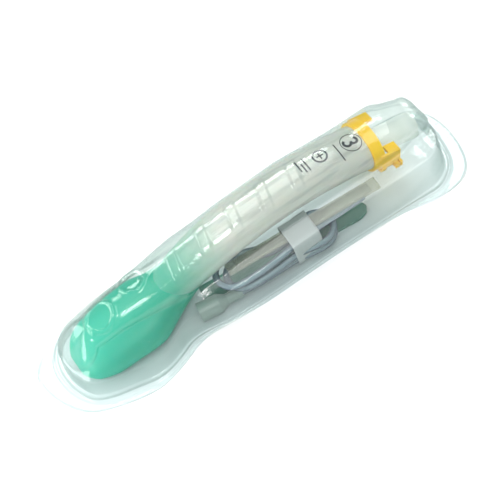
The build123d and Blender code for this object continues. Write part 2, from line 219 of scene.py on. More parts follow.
def blue_vinyl(name="blue_vinyl"):
    """Extruded clear blue vinyl with a wet sheen. Painted shade: pale down the middle and
    painted dark blue along both edges by viewing angle, standing in for refraction through the wall."""
    material, tree = new_material(name)
    streak = add(tree, "ShaderNodeTexNoise", Scale=350.0, Detail=2.0)
    body = add(tree, "ShaderNodeMix", [(0, streak, 0)],
               {6: srgb("#B0C6CC"), 7: srgb("#8AA9B6")}, data_type="RGBA")
    # Painted shade: edges seen at grazing angles are darkened to deep blue, standing in for
    # refraction through the clear wall.
    edge = add(tree, "ShaderNodeLayerWeight", Blend=0.76)
    tone = add(tree, "ShaderNodeMix", [(0, edge, 1), (6, body, 2)],
               {7: srgb("#103B60")}, data_type="RGBA")
    face = add(tree, "ShaderNodeBsdfPrincipled", [("Base Color", tone, 2)],
               Roughness=0.12, IOR=1.53, Transmission_Weight=0.35, Coat_Weight=0.8)
    add(tree, "ShaderNodeOutputMaterial", [("Surface", face, 0)])
    return material


suction_tube = nurbs_line("suction_tube", tube_route, TUBE / 2)
suction_tube.data.materials.append(blue_vinyl())
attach(suction_tube, "suction_set")
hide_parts("suction_hank", "suction_tail")


# ---- The formed shell -----------------------------------------------------------------
# One sheet of clear film, drawn down over a tool while hot: a flat flange with a raised
# bead, upright walls, a bay for the accessories and a half round ridge over the airway.
FILM = 0.5
RIDGE_Y = 4.5
PACK_LENGTH, PACK_WIDTH, RIDGE_HEIGHT = 267.8, 73.6, 48.0

# x, wall top, half ridge, shoulder, spring line, crown (share of the ridge's height)
STATIONS = [
    (-118.0, 10.5, 5.0, 12.5, 13.0, 0.36), (-113.5, 12.5, 8.0, 17.0, 18.0, 0.49),
    (-100.0, 13.0, 11.0, 23.0, 24.5, 0.66), (-80.0, 13.5, 13.0, 26.5, 28.5, 0.77),
    (-62.0, 14.5, 14.6, 26.0, 28.0, 0.79), (-47.0, 17.0, 16.6, 25.0, 27.5, 0.84),
    (-25.0, 21.5, 18.0, 24.5, 28.5, 0.93), (0.0, 23.0, 17.6, 25.5, 30.2, 0.98),
    (38.0, 23.4, 17.6, 26.0, 30.6, 1.0), (64.0, 23.5, 17.8, 26.0, 28.6, 0.93),
    (80.0, 24.0, 18.9, 26.0, 27.0, 0.85), (100.0, 24.0, 18.9, 26.0, 26.6, 0.84),
    (105.0, 24.0, 16.5, 25.0, 25.6, 0.80), (113.0, 24.0, 15.5, 24.0, 24.6, 0.77),
    (122.0, 21.5, 11.0, 22.5, 23.0, 0.66),
]
FOOT = [
    (-118.0, 4.5), (-117.0, -4.0), (-112.5, -14.5), (-103.0, -20.2), (-90.0, -23.8), (-80.0, -26.3),
    (-70.0, -26.2), (-61.0, -23.4), (-54.0, -20.8), (-47.0, -20.4), (-38.0, -21.9),
    (-25.0, -24.1), (0.0, -25.6), (38.0, -26.0), (64.0, -27.2), (85.0, -28.0), (100.0, -28.3),
    (109.0, -27.5), (117.0, -22.5), (121.5, -14.0), (122.6, -2.0), (122.3, 7.0), (119.0, 14.5),
    (112.0, 18.6), (105.5, 21.0), (99.0, 23.9), (80.0, 24.0), (64.0, 22.9), (38.0, 22.8),
    (0.0, 22.8), (-25.0, 23.2), (-47.0, 26.3), (-62.0, 30.4), (-80.0, 31.6), (-100.0, 29.0),
    (-110.0, 25.2), (-115.5, 18.5), (-117.6, 12.0),
]
FLANGE = [
    (-1.0, 0.36), (-0.975, -0.13), (-0.905, -0.56), (-0.79, -0.79), (-0.61, -0.94),
    (-0.47, -0.83), (-0.345, -0.68), (-0.10, -0.755), (0.16, -0.775), (0.36, -0.79),
    (0.62, -0.86), (0.84, -1.0), (0.95, -0.80), (1.0, -0.16), (0.975, 0.42),
    (0.87, 0.71), (0.55, 0.76), (0.10, 0.75), (-0.28, 0.80), (-0.47, 0.94),
    (-0.66, 1.0), (-0.82, 0.92), (-0.94, 0.70),
]


def rounded_loop(points, steps=10):
    """A smooth closed line through given points (Catmull-Rom)."""
    count = len(points)
    line = []
    for i in range(count):
        a, b, c, d = (Vector((*points[(i + k) % count], 0.0)) for k in (-1, 0, 1, 2))
        for j in range(steps):
            t = j / steps
            line.append(0.5 * ((2 * b) + (c - a) * t + (2 * a - 5 * b + 4 * c - d) * t * t
                               + (3 * b - a - 3 * c + d) * t ** 3))
    return line


foot_line = rounded_loop(FOOT)
flange_line = rounded_loop([(a * PACK_LENGTH / 2, b * PACK_WIDTH / 2) for a, b in FLANGE])


def reach(line, start, heading):
    """How far a closed line lies from start along heading, in plan."""
    best = None
    side = Vector((-heading.y, heading.x, 0.0))
    for p, q in zip(line, line[1:] + line[:1]):
        a, b = (p - start).dot(side), (q - start).dot(side)
        if (a > 0) == (b > 0):
            continue
        hit = p + (q - p) * (a / (a - b))
        along = (hit - start).dot(heading)
        if along > 0 and (best is None or along > best):
            best = along
    return best


def station_at(x):
    """The stations' values at x, eased between neighbours."""
    x = min(max(x, STATIONS[0][0]), STATIONS[-1][0])
    for low, high in zip(STATIONS, STATIONS[1:]):
        if x <= high[0]:
            t = (x - low[0]) / (high[0] - low[0])
            return [a + (b - a) * t for a, b in zip(low[1:], high[1:])]


def smooth_station(x, spread=5.0):
    """station_at, softened over a few millimetres as drawn film is."""
    weights = [(offset, 1.0 - abs(offset) / (spread * 1.2)) for offset in
               [spread * k / 4 for k in range(-4, 5)]]
    total = sum(w for _, w in weights)
    rows = [(w, station_at(x + offset)) for offset, w in weights]
    return [sum(w * row[i] for w, row in rows) / total for i in range(5)]


RINGS = [(-87.5, 3.0, 9.6, 7.4), (-62.5, 8.0, 8.4, 5.9)]
RIBS = [-38.0, -18.0, 2.0, 22.0, 42.0]


def soft_step(value, width):
    """1 below zero, 0 above it, eased over the width."""
    share = min(max(0.5 - value / width, 0.0), 1.0)
    return share * share * (3 - 2 * share)


def embossing(x, y):
    """Height of the formed marks on the ridge: two round bosses and five plain ribs."""
    height = 0.0
    for ring_x, ring_y, outer, inner in RINGS:
        away = hypot(x - ring_x, (y - ring_y) * 1.05)
        height += 1.3 * soft_step(away - outer, 0.9) - 1.0 * soft_step(away - inner, 0.9)
    for rib_x in RIBS:
        lean = (y - RIDGE_Y) * 0.25
        across = abs(x - rib_x - lean)
        height += 1.1 * soft_step(across - 3.0, 1.0) * soft_step(abs(y - RIDGE_Y + 5) - 8, 2.0)
    return height


def corner(before, point, after, radius, steps):
    """A rounded corner in a profile: points on a curve that cuts the corner."""
    first = point + (before - point).normalized() * min(radius, (before - point).length * 0.45)
    last = point + (after - point).normalized() * min(radius, (after - point).length * 0.45)
    line = []
    for i in range(steps):
        t = i / (steps - 1)
        line.append(first * (1 - t) ** 2 + point * 2 * t * (1 - t) + last * t * t)
    return line


FLANGE_TOP = 1.0
ARCH_STEPS = 36


def spoke_profile(x, foot, edge, front):
    """Distance and height pairs from the ridge's crest out to the flange's edge. Front
    is 0 at the sides and 1 straight out of an end."""
    wall_top, half, shoulder, spring, crown = smooth_station(x)
    top = crown * RIDGE_HEIGHT
    bulge = 2.0
    if x < 0:
        bulge = 2.0 - 0.85 * front
        half += (foot - 3.0 - half) * front
        spring += (wall_top + 2.0 - spring) * front
    else:
        bulge = 2.0 + 1.6 * front
        half = min(half, foot - 2.2)
    half = min(half, foot - 2.0)
    if front == 0.0:
        spring = max(spring, top - half)
    shoulder = min(shoulder, spring - 0.8)
    arch = []
    for i in range(ARCH_STEPS):
        angle = (pi / 2) * 0.97 * i / (ARCH_STEPS - 1)
        out, rise = sin(angle) ** (2 / bulge), cos(angle) ** (2 / bulge)
        arch.append(Vector((half * out, spring + (top - spring) * rise)))
    knee = Vector((half + 0.05, shoulder))
    brow = Vector((max(foot - 1.2, half + 0.9), min(wall_top, shoulder - 0.6)))
    base = Vector((foot, FLANGE_TOP))
    width = edge - foot
    line = arch + corner(arch[-1], knee, brow, 1.0, 6)
    run_in, run_out = line[-1], corner(knee, brow, base, 1.2, 7)
    line += [run_in.lerp(run_out[0], k / 5) for k in range(1, 5)] + run_out
    drop = line[-1]
    flat = Vector((foot + min(2.2, 0.3 * width), FLANGE_TOP))
    foot_bend = corner(brow, base, flat, 0.9, 5)
    line += [drop.lerp(foot_bend[0], k / 4) for k in range(1, 4)] + foot_bend
    bead = min(1.1, 0.22 * width)
    middle = foot + min(3.4, 0.45 * width)
    rise = min(0.9, bead * 0.8)
    for k in range(9):
        turn_by = pi * k / 8
        line.append(Vector((middle - bead * cos(turn_by), FLANGE_TOP + rise * sin(turn_by))))
    last = middle + bead
    line += [Vector((last + (edge - 0.1 - last) * k / 5, FLANGE_TOP)) for k in range(1, 6)]
    return line


def shell_spokes():
    """Every spoke as (origin, heading, x for the stations, share of front)."""
    first_x, last_x, step = -97.0, 113.0, 0.7
    count = int((last_x - first_x) / step)
    spokes = []
    for i in range(count + 1):
        x = first_x + (last_x - first_x) * i / count
        spokes.append((Vector((x, RIDGE_Y, 0)), Vector((0, -1, 0)), x, 0.0))
    fan = 44
    for i in range(1, fan):
        angle = -pi / 2 + pi * i / fan
        heading = Vector((cos(angle), sin(angle), 0))
        spokes.append((Vector((last_x, RIDGE_Y, 0)), heading, last_x, cos(angle)))
    for i in range(count + 1):
        x = last_x + (first_x - last_x) * i / count
        spokes.append((Vector((x, RIDGE_Y, 0)), Vector((0, 1, 0)), x, 0.0))
    for i in range(1, fan):
        angle = pi / 2 + pi * i / fan
        heading = Vector((cos(angle), sin(angle), 0))
        spokes.append((Vector((first_x, RIDGE_Y, 0)), heading, first_x, -cos(angle)))
    return spokes


def formed_shell():
    """The whole shell as one skin, thickened inwards by the film."""
    spokes = shell_spokes()
    vertices, faces = [], []
    for origin, heading, x, front in spokes:
        foot = reach(foot_line, origin, heading)
        edge = reach(flange_line, origin, heading)
        for along, height in spoke_profile(x, foot, edge, front):
            place = origin + heading * along
            lift = embossing(place.x, place.y) if height > 20.0 else 0.0
            vertices.append((place.x, place.y, height + lift))
    size = len(vertices) // len(spokes)
    for i in range(len(spokes)):
        j = (i + 1) % len(spokes)
        for k in range(size - 1):
            faces.append((i * size + k, i * size + k + 1, j * size + k + 1, j * size + k))
    made = mesh_object("blister_film", vertices, faces)
    work = bmesh.new()
    work.from_mesh(made.data)
    bmesh.ops.remove_doubles(work, verts=work.verts, dist=0.02 * MM)
    bmesh.ops.recalc_face_normals(work, faces=work.faces)
    work.to_mesh(made.data)
    work.free()
    thick = made.modifiers.new("film", "SOLIDIFY")
    thick.thickness = FILM * MM
    thick.offset = -1.0
    return made


def surface_bounce(tree, ripple, head_on, grazing):
    """How much of a clear sheet's light is reflected, alike from inside and outside."""
    facing = add(tree, "ShaderNodeLayerWeight", [("Normal", ripple, 0)], Blend=0.5)
    curve = add(tree, "ShaderNodeMath", [(0, facing, 1)], {1: 4.0}, operation="POWER")
    return add(tree, "ShaderNodeMapRange", [(0, curve, 0)], {3: head_on, 4: grazing})


def clear_formed_film():
    """Thermoformed clear film: glassy at every angle, with painted shade: its see-through colour is
    painted grey-green where it is seen edge on, standing in for refraction at its walls and edges.
    """
    material, tree = new_material("clear_formed_film")
    drawn = add(tree, "ShaderNodeTexNoise", Scale=60.0, Detail=2.0)
    ripple = add(tree, "ShaderNodeBump", [("Height", drawn, 0)], Strength=0.10, Distance=0.001)
    # Painted shade: the see-through colour turns grey-green at grazing angles, standing in for the
    # darkening that refraction gives the film's walls and edges.
    edge = add(tree, "ShaderNodeLayerWeight", [("Normal", ripple, 0)], Blend=0.34)
    tint_and_edge_shade = add(tree, "ShaderNodeMix", [(0, edge, 1)],
               {6: srgb("#FAFCFB"), 7: srgb("#D2DCD9")}, data_type="RGBA")
    clear = add(tree, "ShaderNodeBsdfTransparent", [("Color", tint_and_edge_shade, 2)])
    gloss = add(tree, "ShaderNodeBsdfAnisotropic", [("Normal", ripple, 0)], Roughness=0.06)
    bounce = surface_bounce(tree, ripple, 0.045, 0.55)
    both = add(tree, "ShaderNodeMixShader", [(0, bounce, 0), (1, clear, 0), (2, gloss, 0)])
    add(tree, "ShaderNodeOutputMaterial", [("Surface", both, 0)])
    return material


blister = formed_shell()
blister.data.materials.append(clear_formed_film())
blister.visible_shadow = False
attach(blister, "shell")
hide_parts("blister_shell")


# ---- The airway's stem ----------------------------------------------------------------
# Moulded thermoplastic elastomer, clear with a milky haze, tinted by the cuff where they
# are bonded. It carries a bite bar and black printed marks.
def milky_elastomer():
    """Cloudy clear elastomer: faint darker lines of painted shade run along the lumen's walls, and
    the colour turns to the cuff's green towards the cuff."""
    material, tree = new_material("milky_elastomer")
    place = add(tree, "ShaderNodeTexCoord")
    split = add(tree, "ShaderNodeSeparateXYZ", [(0, place, 3)])
    fade = add(tree, "ShaderNodeMapRange", [(0, split, 0)], {1: -0.046, 2: -0.008, 3: 1.0, 4: 0.0})
    haze = add(tree, "ShaderNodeTexNoise", Scale=45.0, Detail=4.0)
    cloud = add(tree, "ShaderNodeMix", [(0, haze, 0)],
                {6: srgb("#F0F0E6"), 7: srgb("#E4E7DF")}, data_type="RGBA")
    # Painted shade: two faint darker lines along the lumen's walls, standing in for how the internal
    # walls shade the light through the clear stem.
    wall = None
    for operation, value in (("SUBTRACT", 0.003), ("ABSOLUTE", 0.0), ("SUBTRACT", 0.0052),
                             ("ABSOLUTE", 0.0)):
        source = (0, split, 1) if wall is None else (0, wall, 0)
        wall = add(tree, "ShaderNodeMath", [source], {1: value}, operation=operation)
    lumen_wall_shade = add(tree, "ShaderNodeMapRange", [(0, wall, 0)], {1: 0.0, 2: 0.0016, 3: 0.55, 4: 0.0})
    drawn = add(tree, "ShaderNodeMapping", [("Vector", place, 3)], Scale=(4.0, 60.0, 60.0))
    flow = add(tree, "ShaderNodeTexNoise", [("Vector", drawn, 0)], Scale=5.0, Detail=3.0)
    streak = add(tree, "ShaderNodeMapRange", [(0, flow, 0)], {1: 0.50, 2: 0.68, 3: 0.0, 4: 0.5})
    lined = add(tree, "ShaderNodeMix", [(0, streak, 0), (6, cloud, 2)],
                {7: srgb("#AEB8B3")}, data_type="RGBA")
    inner = add(tree, "ShaderNodeMix", [(0, lumen_wall_shade, 0), (6, lined, 2)],
                {7: srgb("#B9BFB6")}, data_type="RGBA")
    tone = add(tree, "ShaderNodeMix", [(0, fade, 0), (6, inner, 2)],
               {7: srgb("#5CC4A8")}, data_type="RGBA")
    face = add(tree, "ShaderNodeBsdfPrincipled", [("Base Color", tone, 2)],
               Roughness=0.32, IOR=1.48,
               Transmission_Weight=0.35, Subsurface_Weight=0.25, Subsurface_Scale=0.004)
    add(tree, "ShaderNodeOutputMaterial", [("Surface", face, 0)])
    return material


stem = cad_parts["airway_stem"]
stem.data.materials.clear()
stem.data.materials.append(milky_elastomer())


def surface_of(piece):
    """A search tree over a piece's mesh, to lay things on its surface."""
    mesh = piece.data
    corners = [piece.matrix_world @ v.co for v in mesh.vertices]
    return BVHTree.FromPolygons(corners, [tuple(p.vertices) for p in mesh.polygons])


stem_skin = surface_of(stem)


def drop_on(skin, x, y, lift):
    """The point on the skin straight under (x, y), raised by lift. All in millimetres."""
    hit = skin.ray_cast(Vector((x, y, 100.0)) * MM, Vector((0, 0, -1)))
    return hit[0] / MM + hit[1] * lift


def arc_line(x, y, radius, first, last, steps):
    """Points round part of a circle in plan; the angles are degrees."""
    angles = [radians(first + (last - first) * i / (steps - 1)) for i in range(steps)]
    return [(x + radius * cos(a), y + radius * sin(a)) for a in angles]


def straight(a, b, steps=8):
    """Evenly spaced points from a to b in plan."""
    return [(a[0] + (b[0] - a[0]) * i / (steps - 1), a[1] + (b[1] - a[1]) * i / (steps - 1))
            for i in range(steps)]


# Each stroke is (points, width). The size numeral is read with the connector at the top.
marks = [(arc_line(78.0, 2.4, 5.8, 0, 360, 40), 0.45)]
marks += [(arc_line(79.8, 2.6, 1.9, 65, -175, 14), 1.5)]
marks += [(arc_line(75.9, 2.6, 2.1, 5, -245, 16), 1.5)]
marks += [(straight((69.0, -5.6), (69.0, 6.0)), 0.7)]
marks += [(arc_line(59.0, 3.4, 3.9, 0, 360, 34), 1.0)]
marks += [(straight((59.0, 1.1), (59.0, 5.7), 5), 0.8), (straight((57.0, 3.4), (61.0, 3.4), 5), 0.8)]
for bar_x, low_y, high_y in ((50.0, -1.5, 8.0), (47.8, -1.5, 4.5), (45.6, 0.0, 8.0)):
    marks.append((straight((bar_x, low_y), (bar_x, high_y), 7), 0.9))


def printed_marks():
    """The marks as thin ribbons of ink that follow the stem's surface."""
    vertices, faces = [], []
    for line, width in marks:
        start = len(vertices)
        for i, (x, y) in enumerate(line):
            before, after = line[max(i - 1, 0)], line[min(i + 1, len(line) - 1)]
            run = Vector((after[0] - before[0], after[1] - before[1])).normalized()
            for side in (-0.5, 0.5):
                place = (x - run.y * width * side, y + run.x * width * side)
                vertices.append(drop_on(stem_skin, *place, 0.12))
        for i in range(len(line) - 1):
            k = start + 2 * i
            faces.append((k, k + 1, k + 3, k + 2))
    return mesh_object("size_marks", vertices, faces)


def black_pad_print():
    """Matt black ink, a little uneven where the pad lifted."""
    material, tree = new_material("black_pad_print")
    speck = add(tree, "ShaderNodeTexNoise", Scale=1500.0, Detail=2.0)
    tone = add(tree, "ShaderNodeMix", [(0, speck, 0)],
               {6: srgb("#1D2326"), 7: srgb("#3A4246")}, data_type="RGBA")
    face = add(tree, "ShaderNodeBsdfPrincipled", [("Base Color", tone, 2)], Roughness=0.55)
    add(tree, "ShaderNodeOutputMaterial", [("Surface", face, 0)])
    return material


size_marks = printed_marks()
size_marks.data.materials.append(black_pad_print())
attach(size_marks, "airway")


# ---- The soft cuff --------------------------------------------------------------------
# One moulding of soft mint elastomer, bonded over the stem's end: a blunt shoe with two
# side wings, and a bowl under it that seals round the larynx.
CUFF_ROWS = [
    # x, half width, underside, widest height, crown
    (-111.5, 6.5, 3.6, 6.0, 9.5), (-109.0, 12.0, 2.8, 6.4, 13.0), (-104.0, 17.2, 2.3, 7.0, 16.8),
    (-94.0, 21.0, 2.2, 8.0, 20.6), (-82.0, 22.2, 2.2, 9.5, 23.4), (-70.0, 23.0, 2.2, 10.5, 25.0),
    (-63.0, 22.0, 2.4, 11.0, 25.6), (-56.0, 19.0, 3.2, 12.5, 26.2), (-48.0, 15.8, 6.0, 16.0, 27.0),
    (-40.0, 13.8, 10.0, 20.0, 28.2), (-34.5, 13.2, 13.0, 22.0, 29.4),
]


BOWL_X, BOWL_HALF_LENGTH, BOWL_HALF_WIDTH, BOWL_DEPTH = -76.0, 22.0, 13.0, 9.0


def eased_row(rows, t):
    """A row at t (0 to 1 along the table), on a smooth curve through the rows."""
    last = len(rows) - 1
    spot = min(int(t * last), last - 1)
    u = t * last - spot
    a, b, c, d = (rows[min(max(spot + k, 0), last)] for k in (-1, 0, 1, 2))
    return [0.5 * (2 * q + (r - p) * u + (2 * p - 5 * q + 4 * r - s) * u * u
                   + (3 * q - p - 3 * r + s) * u ** 3) for p, q, r, s in zip(a, b, c, d)]


def soft_cuff_mesh():
    """The cuff from rings along X: a domed top, side wings and a bowl underneath."""
    vertices, faces = [], []
    rings, over, under = 76, 34, 22
    for i in range(rings):
        x, half, low, side, crown = eased_row(CUFF_ROWS, i / (rings - 1))
        for k in range(over):
            angle = pi * k / (over - 1)
            y = half * (abs(cos(angle)) ** 0.85) * (1 if cos(angle) > 0 else -1)
            z = side + (crown - side) * abs(sin(angle)) ** 0.9
            vertices.append((x, RIDGE_Y + y, z))
        for k in range(1, under):
            y = half * (-1 + 2 * k / under)
            rim = low + (side - low) * abs(y / half) ** 5
            bowl = max(0.0, 1 - ((x - BOWL_X) / BOWL_HALF_LENGTH) ** 2 - (y / BOWL_HALF_WIDTH) ** 2)
            vertices.append((x, RIDGE_Y + y, rim + BOWL_DEPTH * bowl ** 0.7))
    loop = over + under - 1
    for i in range(rings - 1):
        for k in range(loop):
            a, b = i * loop + k, i * loop + (k + 1) % loop
            faces.append((a, b, b + loop, a + loop))
    faces.append(tuple(range(loop)))
    faces.append(tuple(reversed(range((rings - 1) * loop, rings * loop))))
    made = mesh_object("soft_cuff", vertices, faces)
    work = bmesh.new()
    work.from_mesh(made.data)
    bmesh.ops.recalc_face_normals(work, faces=work.faces)
    work.to_mesh(made.data)
    work.free()
    return made


def mint_elastomer():
    """Soft green elastomer: light soaks in and glows, with a satin moulded skin and painted shade
    that darkens it towards the stem end.
    """
    material, tree = new_material("mint_elastomer")
    grain = add(tree, "ShaderNodeTexNoise", Scale=2200.0, Detail=2.0)
    skin = add(tree, "ShaderNodeBump", [("Height", grain, 0)], Strength=0.12, Distance=0.0002)
    depth = add(tree, "ShaderNodeTexNoise", Scale=28.0, Detail=2.0)
    mint_mottle = add(tree, "ShaderNodeMix", [(0, depth, 0)],
               {6: srgb("#1CB597"), 7: srgb("#3EBFA7")}, data_type="RGBA")
    place = add(tree, "ShaderNodeTexCoord")
    split = add(tree, "ShaderNodeSeparateXYZ", [(0, place, 3)])
    # Painted shade: the mint is darkened from x -108 to -50 mm towards the stem end, standing in for
    # the lighter tip where the film's reflection falls; it is not a thicker wall.
    thick = add(tree, "ShaderNodeMapRange", [(0, split, 0)], {1: -0.108, 2: -0.050, 3: 0.0, 4: 0.8})
    tone = add(tree, "ShaderNodeMix", [(0, thick, 0), (6, mint_mottle, 2)],
               {7: srgb("#109C7E")}, data_type="RGBA")
    face = add(tree, "ShaderNodeBsdfPrincipled", [("Base Color", tone, 2), ("Normal", skin, 0)],
               Roughness=0.38, IOR=1.46, Subsurface_Weight=0.4, Subsurface_Scale=0.006)
    add(tree, "ShaderNodeOutputMaterial", [("Surface", face, 0)])
    return material


soft_cuff = soft_cuff_mesh()
soft_cuff.data.materials.append(mint_elastomer())
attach(soft_cuff, "airway")
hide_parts("airway_cuff")


# ---- The connector --------------------------------------------------------------------
# Hard clear polymer, injection moulded and pressed into the stem, with a polished cone.
def round_edges(piece, width):
    """Rounds a carried-over piece's sharp edges, as a mould does. Width in millimetres."""
    bevel = piece.modifiers.new("mould_radius", "BEVEL")
    bevel.width = width * MM
    bevel.segments = 2
    bevel.limit_method = "ANGLE"
    bevel.angle_limit = radians(40)
    bevel.harden_normals = True


def clear_polymer():
    """Hard clear polymer: see-through with a faint white haze, brighter along its edges from its
    gloss, with faint painted shade where it is seen edge on.
    """
    material, tree = new_material("clear_polymer")
    flow = add(tree, "ShaderNodeTexNoise", Scale=120.0, Detail=2.0)
    ripple = add(tree, "ShaderNodeBump", [("Height", flow, 0)], Strength=0.05, Distance=0.001)
    # Painted shade: the see-through colour greys slightly at grazing angles, standing in for
    # refraction at the connector's edges.
    edge = add(tree, "ShaderNodeLayerWeight", [("Normal", ripple, 0)], Blend=0.45)
    tint_and_edge_shade = add(tree, "ShaderNodeMix", [(0, edge, 1)],
               {6: srgb("#FAFCFA"), 7: srgb("#F0F3F0")}, data_type="RGBA")
    clear = add(tree, "ShaderNodeBsdfTransparent", [("Color", tint_and_edge_shade, 2)])
    gloss = add(tree, "ShaderNodeBsdfAnisotropic", [("Normal", ripple, 0)], Roughness=0.05)
    bounce = surface_bounce(tree, ripple, 0.05, 0.6)
    glassy = add(tree, "ShaderNodeMixShader", [(0, bounce, 0), (1, clear, 0), (2, gloss, 0)])
    haze = add(tree, "ShaderNodeBsdfPrincipled", Base_Color=srgb("#F6F8F4"), Roughness=0.4)
    both = add(tree, "ShaderNodeMixShader", [(1, glassy, 0), (2, haze, 0)], Fac=0.3)
    add(tree, "ShaderNodeOutputMaterial", [("Surface", both, 0)])
    return material


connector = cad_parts["connector"]
connector.data.materials.clear()
connector.data.materials.append(clear_polymer())
connector.visible_shadow = False
round_edges(connector, 0.3)


# ---- The hook ring, oxygen port and cap -----------------------------------------------
# Yellow polypropylene mouldings: the ring clips round the stem's end, the port is on its
# lug, and the cap closes the port on a thin hinge.
def yellow_polypropylene():
    """Bright yellow polypropylene: waxy sheen, with painted shade of deeper orange where it is seen
    edge on.
    """
    material, tree = new_material("yellow_polypropylene")
    # Painted shade: the yellow turns deeper orange at grazing angles, standing in for shade on faces
    # turned from the light; it is not a thicker wall.
    thick = add(tree, "ShaderNodeLayerWeight", Blend=0.5)
    tone = add(tree, "ShaderNodeMix", [(0, thick, 1)],
               {6: srgb("#FFCE00"), 7: srgb("#F4B900")}, data_type="RGBA")
    grain = add(tree, "ShaderNodeTexNoise", Scale=1800.0, Detail=2.0)
    skin = add(tree, "ShaderNodeBump", [("Height", grain, 0)], Strength=0.08, Distance=0.0002)
    face = add(tree, "ShaderNodeBsdfPrincipled", [("Base Color", tone, 2), ("Normal", skin, 0)],
               Roughness=0.3, IOR=1.49,
               Subsurface_Weight=0.15, Subsurface_Scale=0.002)
    add(tree, "ShaderNodeOutputMaterial", [("Surface", face, 0)])
    return material


yellow = yellow_polypropylene()
for node in ("hook_ring", "oxygen_port", "oxygen_port_cap"):
    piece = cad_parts[node]
    piece.data.materials.clear()
    piece.data.materials.append(yellow)
    round_edges(piece, 0.25)


# ---- The funnel and the tube's tip ----------------------------------------------------
# Frosted vinyl mouldings welded to the tube's two ends.
def frosted_vinyl():
    """Frosted grey-green vinyl, cloudy inside, with a soft sheen."""
    material, tree = new_material("frosted_vinyl")
    cloud = add(tree, "ShaderNodeTexNoise", Scale=260.0, Detail=3.0)
    tone = add(tree, "ShaderNodeMix", [(0, cloud, 0)],
               {6: srgb("#B4CAC2"), 7: srgb("#9DB6AE")}, data_type="RGBA")
    face = add(tree, "ShaderNodeBsdfPrincipled", [("Base Color", tone, 2)],
               Roughness=0.3, IOR=1.53,
               Transmission_Weight=0.45)
    add(tree, "ShaderNodeOutputMaterial", [("Surface", face, 0)])
    return material


for node, skin in (("suction_funnel", frosted_vinyl()), ("suction_tip", blue_vinyl("tip_vinyl"))):
    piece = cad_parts[node]
    piece.data.materials.clear()
    piece.data.materials.append(skin)
    round_edges(piece, 0.3)


# ---- The lubricant sachet -------------------------------------------------------------
# Two clear films sealed round a ribbon of gel, crimped across both ends. It lies on the
# wound tube, a little askew.
SACHET = dict(x=31.0, y=-12.9, z=19.1, length=95.0, width=8.6, turn=-5.0)


def pillow(name, length, width, seal, side_seal, thickness, crimp):
    """A filled flat bag on the sachet's place: bulging inside its seals."""
    along, across = 150, 18
    seal_half, ruffle, crimp_pitch = 0.14, 0.10, 0.9
    vertices, faces = [], []
    for face_side in (1, -1):
        for i in range(along + 1):
            u = length * (i / along - 0.5)
            for k in range(across + 1):
                v = width * (k / across - 0.5)
                room_u = max(0.0, (length / 2 - seal - abs(u)) / 3.0)
                room_v = max(0.0, (width / 2 - side_seal - abs(v)) / (width / 2 - side_seal))
                bulge = min(1.0, room_u) ** 0.5 * (1 - (1 - room_v) ** 2.2)
                pucker = ruffle * sin(u * 2.1 + v) * (1 - room_v) * min(1.0, room_u)
                z = face_side * (seal_half + (thickness / 2 - seal_half) * bulge) + pucker
                if crimp and abs(u) > length / 2 - seal:
                    z += ruffle * sin(u * 2 * pi / crimp_pitch)
                vertices.append((u, v, z))
    rim = (along + 1) * (across + 1)
    for i in range(along):
        for k in range(across):
            a = i * (across + 1) + k
            quad = (a, a + across + 1, a + across + 2, a + 1)
            faces.append(quad)
            faces.append(tuple(rim + j for j in reversed(quad)))
    edge = [k for k in range(across + 1)]
    edge += [i * (across + 1) + across for i in range(1, along + 1)]
    edge += [along * (across + 1) + k for k in range(across - 1, -1, -1)]
    edge += [i * (across + 1) for i in range(along - 1, 0, -1)]
    for a, b in zip(edge, edge[1:] + edge[:1]):
        faces.append((a, b, rim + b, rim + a))
    turn_by = radians(SACHET["turn"])
    placed = [(SACHET["x"] + u * cos(turn_by) - v * sin(turn_by),
               SACHET["y"] + u * sin(turn_by) + v * cos(turn_by), SACHET["z"] + z)
              for u, v, z in vertices]
    return mesh_object(name, placed, faces)


def sachet_laminate():
    """Clear packaging film over gel: silvery highlights, a faint cream cast, and painted shade where
    the film is seen edge on.
    """
    material, tree = new_material("sachet_laminate")
    crease = add(tree, "ShaderNodeTexNoise", Scale=180.0, Detail=3.0)
    fold = add(tree, "ShaderNodeBump", [("Height", crease, 0)], Strength=0.25, Distance=0.0006)
    # Painted shade: the see-through colour darkens to grey at grazing angles, standing in for the
    # darker sides that refraction gives the filled sachet.
    edge = add(tree, "ShaderNodeLayerWeight", Blend=0.4)
    tint_and_edge_shade = add(tree, "ShaderNodeMix", [(0, edge, 1)],
               {6: srgb("#E6E8DE"), 7: srgb("#A9AEA4")}, data_type="RGBA")
    clear = add(tree, "ShaderNodeBsdfTransparent", [("Color", tint_and_edge_shade, 2)])
    gloss = add(tree, "ShaderNodeBsdfPrincipled", [("Normal", fold, 0)],
                Base_Color=srgb("#D5D7CB"), Roughness=0.1, IOR=1.5)
    both = add(tree, "ShaderNodeMixShader", [(1, clear, 0), (2, gloss, 0)], Fac=0.24)
    add(tree, "ShaderNodeOutputMaterial", [("Surface", both, 0)])
    return material


def lubricant_jelly():
    """Water-clear jelly with a few small bubbles."""
    material, tree = new_material("lubricant_jelly")
    bubble = add(tree, "ShaderNodeTexNoise", Scale=700.0, Detail=1.0)
    tone = add(tree, "ShaderNodeMix", [(0, bubble, 0)],
               {6: srgb("#DADFD4"), 7: srgb("#C9CFC4")}, data_type="RGBA")
    face = add(tree, "ShaderNodeBsdfPrincipled", [("Base Color", tone, 2)],
               Roughness=0.08, IOR=1.36,
               Transmission_Weight=0.85)
    add(tree, "ShaderNodeOutputMaterial", [("Surface", face, 0)])
    return material


